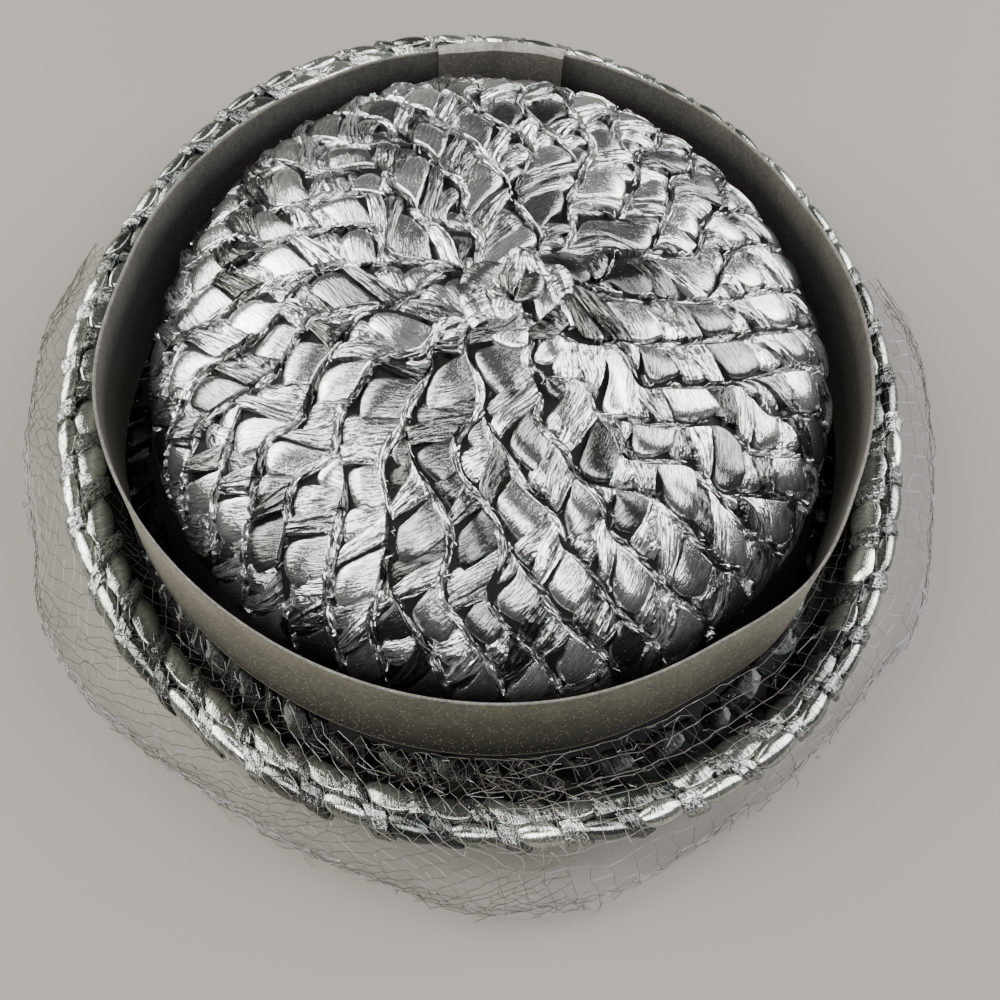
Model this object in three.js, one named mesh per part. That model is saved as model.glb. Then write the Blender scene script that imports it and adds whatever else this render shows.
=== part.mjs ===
// A small pillbox hat of woven straw, lying the right way up as on a table.
// A domed crown of broad glossy straw strips that swirl out of its tip stands on a brim.
// The brim runs flat under a standing ribbon band, then turns up into a thick rolled rim.
// The band stands round the crown like a collar, a little off its centre, and a folded
// piece of the same ribbon covers its join at the back.
// A short veil of net starts at the band's foot, lies over the rim and stands out round
// the front and both sides, down to the table.
// Millimetres, +Z up, front of the hat towards -Y, table at z = 0.
import * as THREE from "three";

// Crown
const crownWidth = 170.5;
const crownDepth = 174.5;
const crownHeight = 42;
const crownWall = 2.4;
const crownRows = 44;
const crownSwirl = 60;
const crownRelief = 1.6;
const tipForward = 10;
const crownCells = 18;
const crownInnerLines = 5;
const crownAsideShare = 0.36;
const crownBackShare = 0.7;

// Brim
const rimPastBand = 13;
const rimPastBandDeep = 26;
const rimAsideShare = 1 / 3;
const rimHeight = 12;
const brimWall = 2.4;
const rimCells = 58;
const rimRelief = 0.8;

// Ribbon band and the piece over its join
const bandRoom = 4.2;
const bandRoomDeep = 5;
const bandHeight = 31.75;
const bandWall = 1.2;
const bandEdge = 0.3;
const joinTurn = 82;
const joinWidth = 35.5;
const joinWall = 1;
const joinInside = 23;
const joinOutside = 30;

// Veil
const veilFrom = -202;
const veilTo = 9;
const veilReach = 11;
const veilWall = 1;
const veilColumns = 36;
const veilBar = 3;
const veilLift = 0.7;
const veilGather = 1.1;
const veilSpring = 0.8;

// Space kept between two pieces that touch, and how finely the ribbon is divided
const gap = 0.35;
const bandSteps = 72;

// How the crown's side bulges, by direction: 2 is a round dome, more is squarer
const crownSides = [
  { turn: -90, square: 2.1 },
  { turn: 0, square: 2.4 },
  { turn: 90, square: 3.0 },
  { turn: 180, square: 2.4 },
];

// How far the band bends out of its oval, as shares of its mean room round the crown
const bandBends = [
  { turn: -170, out: 0.24 },
  { turn: -125, out: -0.1 },
  { turn: -90, out: 0 },
  { turn: -66, out: -0.16 },
  { turn: -48, out: 0.4 },
  { turn: -30, out: -0.06 },
  { turn: 0, out: -0.14 },
  { turn: 20, out: -0.28 },
  { turn: 50, out: 0.26 },
  { turn: 78, out: 0.65 },
  { turn: 100, out: 0.18 },
  { turn: 118, out: -0.26 },
  { turn: 140, out: -0.52 },
  { turn: 162, out: -0.52 },
];

// How far the rim waves out of its oval, as shares of its reach past the band at the sides
const rimBends = [
  { turn: -150, out: 0.08 },
  { turn: -118, out: 0 },
  { turn: -98, out: -0.07 },
  { turn: -60, out: 0.12 },
  { turn: -18, out: -0.16 },
  { turn: 20, out: -0.07 },
  { turn: 70, out: 0 },
  { turn: 120, out: 0.06 },
  { turn: 152, out: -0.18 },
  { turn: 175, out: 0 },
];

// The brim from its inner edge to the rim's core: shares of its breadth, height and wall
const brimSection = [
  { out: 0, up: 0, thick: 1 },
  { out: 0.28, up: 0, thick: 1 },
  { out: 0.58, up: 0, thick: 1 },
  { out: 0.72, up: 0.1, thick: 1 },
  { out: 0.86, up: 0.38, thick: 1.15 },
  { out: 0.95, up: 0.72, thick: 1.6 },
  { out: 1, up: 1, thick: 1.9 },
];

// How far the veil's hem stands out past the rim, as shares of its reach
const veilBends = [
  { turn: -202, out: 0.55 },
  { turn: -190, out: 0.93 },
  { turn: -170, out: 1 },
  { turn: -150, out: 1.4 },
  { turn: -136, out: 0.97 },
  { turn: -120, out: 0.76 },
  { turn: -106, out: 0.76 },
  { turn: -96, out: 1.2 },
  { turn: -84, out: 1.05 },
  { turn: -72, out: 0.56 },
  { turn: -60, out: 0.58 },
  { turn: -41, out: 1.05 },
  { turn: -24, out: 0.87 },
  { turn: -5, out: 1.02 },
  { turn: 9, out: 0.68 },
];

// The veil's lines from the band's foot to the hem. Inner lines give their share of the way
// and of the climb to the rim, outer ones their share of the way from the rim to the hem.
// Open lines start a row of gaps.
const veilLines = [
  { toRim: 0, climb: 0, toHem: 0, open: false },
  { toRim: 0.16, climb: 0.12, toHem: 0, open: true },
  { toRim: 0.74, climb: 0.92, toHem: 0, open: false },
  { toRim: 1, climb: 1, toHem: 0, open: false },
  { toRim: 1, climb: 1, toHem: 0.14, open: true },
  { toRim: 1, climb: 1, toHem: 0.5, open: false },
  { toRim: 1, climb: 1, toHem: 0.6, open: true },
  { toRim: 1, climb: 1, toHem: 0.92, open: false },
  { toRim: 1, climb: 1, toHem: 1, open: false },
];

// Sizes that follow from the others
const degree = Math.PI / 180;
const bandSkin = bandWall + 2 * bandEdge;
const crownAside = crownAsideShare * bandRoom;
const crownBack = crownBackShare * bandRoomDeep;
const bandWidth = crownWidth + crownRelief + 2 * (bandRoom + bandSkin);
const bandDepth = crownDepth + crownRelief + 2 * (bandRoomDeep + bandSkin);
const rimWidth = bandWidth + 2 * rimPastBand;
const rimDepth = bandDepth + 2 * rimPastBandDeep;
const rimAside = crownAside * rimAsideShare;
const crownFoot = brimWall + gap;
const rimCore = brimWall * brimSection.at(-1).thick / 2;
const bandFoot = brimWall + gap;
const bandTop = bandFoot + bandHeight;

const straw = new THREE.MeshStandardMaterial({ color: 0x343735, roughness: 0.28, metalness: 0.35 });
const strawEdge = new THREE.MeshStandardMaterial({ color: 0x2b2e2c, roughness: 0.28, metalness: 0.35 });
const ribbon = new THREE.MeshStandardMaterial({ color: 0x3d3a36, roughness: 0.7, metalness: 0 });
const ribbonFold = new THREE.MeshStandardMaterial({ color: 0x4a4742, roughness: 0.7, metalness: 0 });
const net = new THREE.MeshStandardMaterial({ color: 0x4b4743, roughness: 0.8, metalness: 0 });

// A table's value in one direction, eased from row to row and from the last row to the first
function readTable(rows, column, turn) {
  const start = rows[0].turn;
  const at = start + THREE.MathUtils.euclideanModulo(turn - start, 360);
  const all = [...rows, { ...rows[0], turn: start + 360 }];
  const next = all.findIndex((row) => row.turn > at);
  const share = (at - all[next - 1].turn) / (all[next].turn - all[next - 1].turn);
  const eased = THREE.MathUtils.smoothstep(share, 0, 1);
  return THREE.MathUtils.lerp(all[next - 1][column], all[next][column], eased);
}

// A point of an oval with its bends, pushed out or in along the oval's own normal
function ovalPoint(oval, turn, push = 0) {
  const angle = turn * degree;
  const bend = oval.bends ? readTable(oval.bends, "out", turn) * oval.bendSize : 0;
  const point = new THREE.Vector2(oval.width / 2 * Math.cos(angle), oval.depth / 2 * Math.sin(angle));
  const normal = new THREE.Vector2(oval.depth * Math.cos(angle), oval.width * Math.sin(angle)).normalize();
  return point.addScaledVector(normal, bend + push).add(new THREE.Vector2(oval.aside, oval.back));
}

const crownOval = { width: crownWidth, depth: crownDepth, aside: crownAside, back: crownBack };
const rimOval = {
  width: rimWidth, depth: rimDepth, aside: rimAside, back: crownBack, bends: rimBends, bendSize: rimPastBand,
};
const bandOval = {
  width: bandWidth, depth: bandDepth, aside: 0, back: 0, bends: bandBends, bendSize: bandRoom,
};

// A closed body from points and faces, with its faces turned outwards
function closedBody(points, triangles) {
  let volume = 0;
  for (const [a, b, c] of triangles) {
    volume += points[a].dot(new THREE.Vector3().crossVectors(points[b], points[c]));
  }
  const order = volume < 0 ? triangles.map(([a, b, c]) => [a, c, b]) : triangles;
  const geometry = new THREE.BufferGeometry().setFromPoints(points);
  geometry.setIndex(order.flat());
  geometry.computeVertexNormals();
  return geometry;
}

// The two triangles of one four-sided face
function quad(a, b, c, d) {
  return [[a, b, c], [a, c, d]];
}

// A body through equal loops of points: round on itself, or shut by caps at both ends
function loftedBody(loops, around, flatLoop) {
  const count = loops[0].length;
  const points = loops.flat();
  const triangles = [];
  const strips = around ? loops.length : loops.length - 1;
  for (let i = 0; i < strips; i += 1) {
    const near = i * count;
    const far = ((i + 1) % loops.length) * count;
    for (let j = 0; j < count; j += 1) {
      const next = (j + 1) % count;
      triangles.push(...quad(near + j, far + j, far + next, near + next));
    }
  }
  if (!around) {
    const end = (loops.length - 1) * count;
    for (const [a, b, c] of THREE.ShapeUtils.triangulateShape(flatLoop, [])) {
      triangles.push([a, b, c], [end + a, end + c, end + b]);
    }
  }
  return closedBody(points, triangles);
}

// How high the straw stands at one crossing of a row and a line of cells
function strawRelief(step, line, height) {
  const crest = step % 2 === 1;
  const row = (step - 1) / 2;
  const filled = (row + line) % 2 === 0 ? 1 : 0.3;
  return crest ? height * filled / 2 : -height / 2;
}

// A point of the dome, shrunk by the inset and raised off its surface by the relief. The
// pattern's tip lies in front of the dome's middle, so rings slide forward towards it.
function crownPoint(reach, turn, inset, relief) {
  const square = readTable(crownSides, "square", turn);
  const half = new THREE.Vector3(crownWidth / 2 - inset, crownDepth / 2 - inset, crownHeight - inset);
  const flat = new THREE.Vector2(Math.cos(turn * degree), Math.sin(turn * degree)).multiplyScalar(reach);
  flat.y -= tipForward / half.y * (1 - reach);
  const rise = Math.max(0, 1 - flat.length() ** square) ** (1 / square);
  const normal = new THREE.Vector3(flat.x / half.x, flat.y / half.y, rise / half.z).normalize();
  const point = new THREE.Vector3(flat.x, flat.y, rise).multiply(half).addScaledVector(normal, relief);
  return point.add(new THREE.Vector3(crownAside, crownBack, crownFoot));
}

// One ring of the crown: plain inside, swirled and in relief outside
function crownRing(line, lines, inset) {
  const steps = crownRows * 2;
  const climb = (line / lines) * Math.PI / 2;
  const ring = [];
  for (let step = 0; step < steps; step += 1) {
    const turn = 360 * step / steps;
    const reach = Math.cos(climb) ** (2 / readTable(crownSides, "square", turn));
    const fade = line === 0 ? 0 : THREE.MathUtils.smoothstep(reach, 0.05, 0.35);
    const relief = inset > 0 ? 0 : strawRelief(step, line, crownRelief) * fade;
    ring.push(crownPoint(reach, turn - crownSwirl * (1 - reach), inset, relief));
  }
  return ring;
}

// The crown: a hollow dome, open below, of swirling rows of straw
function makeCrown() {
  const outer = Array.from({ length: crownCells }, (_, line) => crownRing(line, crownCells, 0));
  const inner = Array.from({ length: crownInnerLines }, (_, line) =>
    crownRing(line, crownInnerLines, crownWall));
  const rings = [...outer.reverse(), ...inner];
  const steps = crownRows * 2;
  const points = rings.flat();
  const tip = points.length;
  const innerTip = tip + 1;
  points.push(crownPoint(0, 0, 0, 0), crownPoint(0, 0, crownWall, 0));
  const triangles = [];
  const last = (rings.length - 1) * steps;
  for (let step = 0; step < steps; step += 1) {
    const next = (step + 1) % steps;
    triangles.push([tip, step, next], [innerTip, last + next, last + step]);
    for (let i = 0; i < rings.length - 1; i += 1) {
      const near = i * steps;
      const far = near + steps;
      triangles.push(...quad(near + step, far + step, far + next, near + next));
    }
  }
  return new THREE.Mesh(closedBody(points, triangles), straw);
}

// One cross-section of the brim in one direction, up its top side and back below it
function brimLoop(step) {
  const turn = 360 * step / (rimCells * 2);
  const inside = ovalPoint(crownOval, turn, -crownWall);
  const core = ovalPoint(rimOval, turn, -rimCore);
  const outward = core.clone().sub(inside);
  const breadth = outward.length();
  outward.normalize();
  const line = brimSection.map((row) => new THREE.Vector2(row.out * breadth, brimWall / 2 + row.up
    * (rimHeight - brimWall / 2)));
  const above = [];
  const below = [];
  const crossing = step % 2 === 0;
  for (let i = 0; i < line.length; i += 1) {
    const before = line[Math.max(0, i - 1)];
    const after = line[Math.min(line.length - 1, i + 1)];
    const along = after.clone().sub(before).normalize();
    const normal = new THREE.Vector2(-along.y, along.x);
    const raised = brimSection[i].up > 0 ? rimRelief * (crossing === (i % 2 === 0) ? -0.5 : 0.5) : 0;
    const half = brimWall * brimSection[i].thick / 2;
    above.push(line[i].clone().addScaledVector(normal, half + raised));
    below.push(line[i].clone().addScaledVector(normal, -half - Math.max(0, raised) * brimSection[i].up));
  }
  const tip = line.at(-1).clone().sub(line.at(-2)).normalize();
  const pinch = crossing ? -rimRelief / 2 : rimRelief / 2;
  const rimEnd = line.at(-1).clone().addScaledVector(tip, rimCore + pinch);
  return [...above, rimEnd, ...below.reverse()].map((flat) => new THREE.Vector3(
    inside.x + outward.x * flat.x, inside.y + outward.y * flat.x, flat.y));
}

// The brim: flat under crown and band, then turned up into a rolled rim of lens-shaped cells
function makeBrim() {
  const loops = Array.from({ length: rimCells * 2 }, (_, step) => brimLoop(step));
  return new THREE.Mesh(loftedBody(loops, true), strawEdge);
}

// The band: a standing ribbon with a slightly thicker woven edge above and below
function makeBand() {
  const half = bandWall / 2;
  const edgeHeight = bandWall;
  const section = [
    { out: half + bandEdge, up: 0 },
    { out: half, up: edgeHeight },
    { out: half, up: bandHeight - edgeHeight },
    { out: half + bandEdge, up: bandHeight },
    { out: -half - bandEdge, up: bandHeight },
    { out: -half, up: bandHeight - edgeHeight },
    { out: -half, up: edgeHeight },
    { out: -half - bandEdge, up: 0 },
  ];
  const loops = Array.from({ length: bandSteps }, (_, step) => section.map((row) => {
    const flat = ovalPoint(bandOval, 360 * step / bandSteps, row.out - bandWall / 2 - bandEdge);
    return new THREE.Vector3(flat.x, flat.y, bandFoot + row.up);
  }));
  return new THREE.Mesh(loftedBody(loops, true), ribbon);
}

// The piece over the band's join: a strip of ribbon folded over the band's top edge
function makeJoin() {
  const middle = -bandWall / 2 - bandEdge;
  const clear = bandWall / 2 + bandEdge + gap;
  const outside = clear + joinWall;
  const section = [
    { out: outside, z: bandTop - joinOutside },
    { out: outside, z: bandTop + gap + joinWall / 2 },
    { out: clear, z: bandTop + gap + joinWall },
    { out: -clear, z: bandTop + gap + joinWall },
    { out: -outside, z: bandTop + gap + joinWall / 2 },
    { out: -outside, z: bandTop - joinInside },
    { out: -clear, z: bandTop - joinInside },
    { out: -clear, z: bandTop + gap },
    { out: clear, z: bandTop + gap },
    { out: clear, z: bandTop - joinOutside },
  ];
  const flatLoop = section.map((row) => new THREE.Vector2(row.out, row.z));
  const halfTurn = joinWidth / bandDepth / degree;
  const steps = Math.max(2, Math.round(bandSteps * halfTurn / 180));
  const loops = [];
  for (let step = 0; step <= steps; step += 1) {
    const turn = joinTurn + halfTurn * (2 * step / steps - 1);
    loops.push(section.map((row) => {
      const flat = ovalPoint(bandOval, turn, middle + row.out);
      return new THREE.Vector3(flat.x, flat.y, row.z);
    }));
  }
  return new THREE.Mesh(loftedBody(loops, false, flatLoop), ribbonFold);
}

// One line of the veil from the band's foot over the rim to the hem, in one direction
function veilLine(turn, gather) {
  const half = veilWall / 2;
  const foot = ovalPoint(bandOval, turn, gap + half);
  const rim = ovalPoint(rimOval, turn, -rimCore);
  const hem = ovalPoint(rimOval, turn, readTable(veilBends, "out", turn) * veilReach);
  const footHeight = brimWall + rimRelief / 2 + gap + half;
  const rimTop = rimHeight + rimCore + rimRelief + gap + half;
  const hemHeight = half + veilLift;
  return veilLines.map((row) => {
    const arc = row.toHem * Math.PI / 2;
    const flat = foot.clone().lerp(rim, row.toRim).lerp(hem, Math.sin(arc) ** veilSpring);
    const inner = THREE.MathUtils.lerp(footHeight, rimTop, row.climb);
    const height = row.toHem > 0 ? hemHeight + (rimTop - hemHeight) * Math.cos(arc) : inner;
    const wave = gather * veilGather * Math.max(row.toHem, row.toRim * (1 - row.toRim));
    const away = flat.clone().sub(new THREE.Vector2(rimAside, crownBack)).normalize();
    flat.addScaledVector(away, wave);
    return new THREE.Vector3(flat.x, flat.y, height + Math.abs(wave) * (1 - row.toHem));
  });
}

// The veil's sheet, moved to one side by half its wall along its own normal
function offsetLines(lines, distance) {
  return lines.map((line, i) => line.map((point, j) => {
    const beside = lines[Math.min(lines.length - 1, i + 1)][j].clone();
    beside.sub(lines[Math.max(0, i - 1)][j]);
    const along = line[Math.min(line.length - 1, j + 1)].clone();
    along.sub(line[Math.max(0, j - 1)]);
    const normal = beside.cross(along).normalize();
    return point.clone().addScaledVector(normal, distance);
  }));
}

// The veil: a thin gathered sheet of net with its larger gaps cut through
function makeVeil() {
  const pitch = (veilTo - veilFrom) / veilColumns;
  const barTurn = veilBar / (rimWidth / 2) / degree / 2;
  const turns = [veilFrom];
  for (let column = 0; column < veilColumns; column += 1) {
    turns.push(veilFrom + column * pitch + barTurn, veilFrom + (column + 1) * pitch - barTurn);
  }
  turns.push(veilTo);
  const lines = turns.map((turn, i) => veilLine(turn, Math.floor((i + 1) / 2) % 2 ? 1 : -1));
  const upper = offsetLines(lines, veilWall / 2);
  const lower = offsetLines(lines, -veilWall / 2);
  const points = [...upper.flat(), ...lower.flat()];
  const rows = veilLines.length;
  const under = lines.length * rows;
  const isInside = (i, j) => i >= 0 && i < lines.length - 1 && j >= 0 && j < rows - 1;
  const isCloth = (i, j) => isInside(i, j) && !(i % 2 === 1 && veilLines[j].open);
  const triangles = [];
  for (let i = 0; i < lines.length - 1; i += 1) {
    for (let j = 0; j < rows - 1; j += 1) {
      if (!isCloth(i, j)) continue;
      const [a, b, c, d] = [i * rows + j, (i + 1) * rows + j, (i + 1) * rows + j + 1, i * rows + j + 1];
      triangles.push(...quad(a, b, c, d), ...quad(under + d, under + c, under + b, under + a));
      if (!isCloth(i, j - 1)) triangles.push(...quad(a, under + a, under + b, b));
      if (!isCloth(i + 1, j)) triangles.push(...quad(b, under + b, under + c, c));
      if (!isCloth(i, j + 1)) triangles.push(...quad(c, under + c, under + d, d));
      if (!isCloth(i - 1, j)) triangles.push(...quad(d, under + d, under + a, a));
    }
  }
  return new THREE.Mesh(closedBody(points, triangles), net);
}

// Each piece under its own plain name
function named(name, mesh) {
  mesh.name = name;
  return mesh;
}

const hat = new THREE.Group();
hat.add(named("crown", makeCrown()));
hat.add(named("brim", makeBrim()));
hat.add(named("hat_band", makeBand()));
hat.add(named("band_join", makeJoin()));
hat.add(named("veil", makeVeil()));

// The origin is the middle of the whole hat on the table
const box = new THREE.Box3().setFromObject(hat);
const middle = box.getCenter(new THREE.Vector3());
hat.position.set(-middle.x, -middle.y, -box.min.z);

const group = new THREE.Group();
group.add(hat);
group.updateMatrixWorld(true);

export default group;
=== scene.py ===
# %% [markdown]
# # A small straw hat with a ribbon band and a net veil
# The hat is woven from strips of black cellophane straw: a domed crown whose rows swirl out
# of the tip, a brim that turns up into a rolled rim, a ribbon that stands round the crown
# like a collar, and a short veil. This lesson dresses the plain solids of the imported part.
# The solids fix the sizes and the places, and each step below adds one finish.

# %% Load the fixed frame
import math

import bpy
import numpy as np
from mathutils import Matrix, Vector


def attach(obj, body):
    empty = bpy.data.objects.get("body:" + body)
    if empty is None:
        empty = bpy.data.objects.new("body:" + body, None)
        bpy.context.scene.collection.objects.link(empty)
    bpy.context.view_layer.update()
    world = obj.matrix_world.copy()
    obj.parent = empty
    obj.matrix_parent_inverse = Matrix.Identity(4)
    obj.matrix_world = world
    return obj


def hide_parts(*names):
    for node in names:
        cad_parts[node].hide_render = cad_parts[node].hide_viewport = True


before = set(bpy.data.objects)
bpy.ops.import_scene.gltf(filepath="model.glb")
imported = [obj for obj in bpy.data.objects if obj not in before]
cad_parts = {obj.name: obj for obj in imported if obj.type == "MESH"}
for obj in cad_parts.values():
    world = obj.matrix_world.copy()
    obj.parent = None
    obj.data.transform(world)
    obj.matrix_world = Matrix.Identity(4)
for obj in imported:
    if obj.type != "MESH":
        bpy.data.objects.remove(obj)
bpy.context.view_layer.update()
bpy.ops.object.select_all(action="DESELECT")
print("solids:", ", ".join(sorted(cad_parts)))

# %% [markdown]
# ## Small helpers
# Sizes are easier to read in millimetres, and Blender works in metres, so one number turns
# one into the other. Colours are written as the hex values that a picture program shows,
# and one function turns them into the linear values that a shader needs. Randomness always
# starts from the same seed, so the hat comes out the same each time.

# %% Units, colours and chance
MM = 0.001
chance = np.random.default_rng(7)


def linear(hex_colour):
    """A hex sRGB colour as the linear RGBA that shaders use."""
    parts = [int(hex_colour[i:i + 2], 16) / 255 for i in (1, 3, 5)]
    return [p / 12.92 if p <= 0.04045 else ((p + 0.055) / 1.055) ** 2.4 for p in parts] + [1.0]


def smooth_step(low, high, value):
    """0 below low, 1 above high, and an eased way between."""
    share = np.clip((np.asarray(value, float) - low) / (high - low), 0, 1)
    return share * share * (3 - 2 * share)


# %% [markdown]
# ## Camera and light
# The camera comes first, because every later choice is judged through it. It looks down on
# the front of the hat at 60 degrees, turned and rolled a little as a hand-held one is. Its
# place and its lens fit the outlines of the band and the rim together, so the ovals drawn
# below fall where they should.
#
# Glossy straw shows only what it mirrors, so the lights are judged by their reflections.
# Two large soft windows stand behind the hat on its left and right, and a smaller lamp hangs
# in front. They are round, because a square light gives every curved strip a square glint.
# The room between them is a dim grey, which leaves the crevices and the turned-away strips
# dark.

# %% Camera
view_pitch, view_yaw, view_roll = math.radians(60.4), math.radians(10.5), math.radians(4.9)
camera_place = Vector((-27.15, -176.9, 272.4)) * MM
aim_line = Vector((math.sin(view_yaw) * math.cos(view_pitch),
                   math.cos(view_yaw) * math.cos(view_pitch), -math.sin(view_pitch)))
level = Vector((math.cos(view_yaw), -math.sin(view_yaw), 0))
steep = level.cross(aim_line)
rightward = level * math.cos(view_roll) + steep * math.sin(view_roll)
upward = steep * math.cos(view_roll) - level * math.sin(view_roll)
bpy.ops.object.camera_add()
camera = bpy.context.object
camera.name = "camera"
camera.data.sensor_width = 36
camera.data.lens = 45
turned = Matrix((rightward, upward, -aim_line)).transposed()
camera.matrix_world = Matrix.Translation(camera_place) @ turned.to_4x4()
bpy.context.scene.camera = camera
print("camera", tuple(round(v, 3) for v in camera_place), "lens", camera.data.lens)

# %% Lights


def add_area_light(name, place, aim, size, watts, colour):
    """A soft oval light at a place in metres, turned to its aim."""
    bpy.ops.object.light_add(type="AREA", location=place)
    light = bpy.context.object
    light.name = name
    light.data.shape = "ELLIPSE"
    light.data.size, light.data.size_y = size
    light.data.energy = watts
    light.data.color = linear(colour)[:3]
    light.rotation_euler = (Vector(aim) - Vector(place)).to_track_quat("-Z", "Y").to_euler()
    return light


hat_heart = (0, 0, 0.03)
add_area_light("left_window", (-0.92, 0.36, 0.72), hat_heart, (1.15, 1.0), 50, "#FFFDF8")
add_area_light("right_window", (0.97, 0.3, 0.66), hat_heart, (1.05, 0.95), 43, "#FBFBFF")
add_area_light("front_lamp", (-0.05, -0.62, 1.05), hat_heart, (0.8, 0.5), 22, "#FFFFFF")
world = bpy.data.worlds.new("grey_room")
bpy.context.scene.world = world
world.use_nodes = True
room = world.node_tree.nodes["Background"]
room.inputs["Color"].default_value = linear("#6C6B69")
room.inputs["Strength"].default_value = 0.2


# %% [markdown]
# ## Materials
# One small function adds any node with its settings and its links, and two more name what
# comes up most. So each material below reads as a list of what the real surface does.

# %% One function that adds a node


def add_node(material, kind, settings=None, **links):
    """Adds a node; links give its inputs, as a value or as another node's output."""
    node = material.node_tree.nodes.new(kind)
    for name, value in (settings or {}).items():
        setattr(node, name, value)
    for name, value in links.items():
        key = int(name[1:]) if name[1:].isdigit() else name.replace("_", " ")
        socket = node.inputs[key]
        if isinstance(value, bpy.types.NodeSocket):
            material.node_tree.links.new(value, socket)
        else:
            socket.default_value = value
    return node


def blend(material, share, first, second, kind="MIX"):
    """Two colours mixed by a share, or multiplied."""
    return add_node(material, "ShaderNodeMix", {"data_type": "RGBA", "blend_type": kind},
                    _0=share, _6=first, _7=second).outputs[2]


def spread(material, value, low, high, at_low, at_high):
    """A value read on a new scale: at_low where it is low, at_high where it is high."""
    return add_node(material, "ShaderNodeMapRange",
                    _0=value, _1=low, _2=high, _3=at_low, _4=at_high).outputs[0]


def new_material(name):
    """A material with only its surface shader, ready for nodes."""
    material = bpy.data.materials.new(name)
    material.use_nodes = True
    return material, material.node_tree.nodes["Principled BSDF"]


# %% [markdown]
# ### Cellophane straw
# The straw is black cellophane film, slit into strips, folded and pressed. It has no colour
# of its own to speak of: the eye sees sharp mirror glints, combed by fine pleats, next to
# near black. A clear gloss over black would be too dim here, so the film is drawn as a metal
# whose tint runs from dark to light, one shade for each cell of the weave.
#
# - Every cell has its own patch of the UV map, counted in millimetres. Noise that is drawn
#   out seven times along the strip gives pleats about 0.5 and 0.2 mm wide, as bump and as
#   dark streaks painted into their hollows, a painted shade, so they follow the strip
#   wherever it turns.
# - Grains of dust, about 0.2 mm wide and 1 mm apart, dull the gloss. Real dust is finer, and
#   this is as fine as the picture can show.
#
# The flat strips are smoothest, the pleated ones are combed most, the strips of the rim are
# cleaner, and those in the valley of the brim and on the roll's outer underside are painted
# nearly black, a painted shade.

# %% Cellophane straw
dust_colour = "#D6D6D0"


def straw_material(name, dark, light, roughness, pleat, streak):
    """Glossy pleated film: pleat is how high the pleats stand, streak how dark their painted shade
    is.
    """
    material, surface = new_material(name)
    link = material.node_tree.links.new
    place = add_node(material, "ShaderNodeUVMap", {"uv_map": "strip"}).outputs["UV"]
    cell = add_node(material, "ShaderNodeAttribute", {"attribute_name": "cell"}).outputs["Fac"]
    shade = blend(material, cell, linear(dark), linear(light))
    drawn_out = add_node(material, "ShaderNodeMapping",
                         Vector=place, Scale=(0.14, 1.0, 1.0)).outputs[0]
    pleats, fine = (add_node(material, "ShaderNodeTexNoise", {"noise_dimensions": "2D"},
                             Vector=drawn_out, Scale=scale, Detail=detail,
                             Roughness=0.6).outputs["Fac"]
                    for scale, detail in ((1.9, 4.0), (4.4, 2.0)))
    both = add_node(material, "ShaderNodeMath", {"operation": "MULTIPLY_ADD"},
                    _0=fine, _1=0.4, _2=pleats).outputs[0]
    bump = add_node(material, "ShaderNodeBump", Strength=pleat, Distance=0.5 * MM,
                    Height=both).outputs[0]
    # Where the pleats are low their colour is darkened, a painted shade in their hollows
    pleat_shade = spread(material, both, 0.58, 0.76, 1 - streak, 1.0)
    tint = blend(material, 1.0, shade, pleat_shade, "MULTIPLY")
    solid = add_node(material, "ShaderNodeTexCoord").outputs["Object"]
    grit = add_node(material, "ShaderNodeTexVoronoi",
                    Vector=solid, Scale=900.0).outputs["Distance"]
    dust = spread(material, grit, 0.06, 0.11, 0.5, 0.0)
    dust_and_pleat_shade = blend(material, dust, tint, linear(dust_colour))
    film = spread(material, dust, 0.0, 0.8, 0.92, 0.2)
    link(dust_and_pleat_shade, surface.inputs["Base Color"])
    link(bump, surface.inputs["Normal"])
    link(film, surface.inputs["Metallic"])
    surface.inputs["Roughness"].default_value = roughness
    surface.inputs["Coat Weight"].default_value = 0.25
    surface.inputs["Coat Roughness"].default_value = 0.12
    return material


straw_film = straw_material("cellophane_straw_flat", "#303431", "#E3E6E1", 0.2, 0.36, 0.5)
straw_pleated = straw_material("cellophane_straw_pleated", "#40443F", "#F0F2EF", 0.2, 0.5, 0.9)
straw_rim = straw_material("cellophane_straw_rim", "#4A504A", "#D6DAD0", 0.15, 0.3, 0.4)
# The same film in the valley and under the roll, painted darker: a painted shade
straw_valley = straw_material("cellophane_straw_shaded", "#131513", "#5E6460", 0.16, 0.4, 0.6)
straw_cross = straw_material("cellophane_straw_crossing", "#454945", "#C4C8C2", 0.24, 0.5, 0.9)

# The wrong side of the weave, behind the strips: dull and black, it gives crevices no gleam
straw_dark, dark_surface = new_material("cellophane_straw_inside")
dark_surface.inputs["Base Color"].default_value = linear("#0B0C0B")
dark_surface.inputs["Roughness"].default_value = 0.6
dark_surface.inputs["Specular IOR Level"].default_value = 0.1

# %% [markdown]
# ### Velvet ribbon
# Cotton velvet ribbon has a dense short pile that swallows light and gives back a faint
# sheen. It is a greyish olive with pale specks of lint, and a painted shade makes it lightest
# near its top edge and darker down to its foot. Its woven edge is a thin smooth line, a little
# lighter. The nap is noise with a grain of about 1 mm and finer, and the specks of lint are
# about 0.3 mm wide.

# %% Velvet ribbon
lint_colour, sheen_colour = "#A29C8C", "#C9C0AC"


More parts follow.
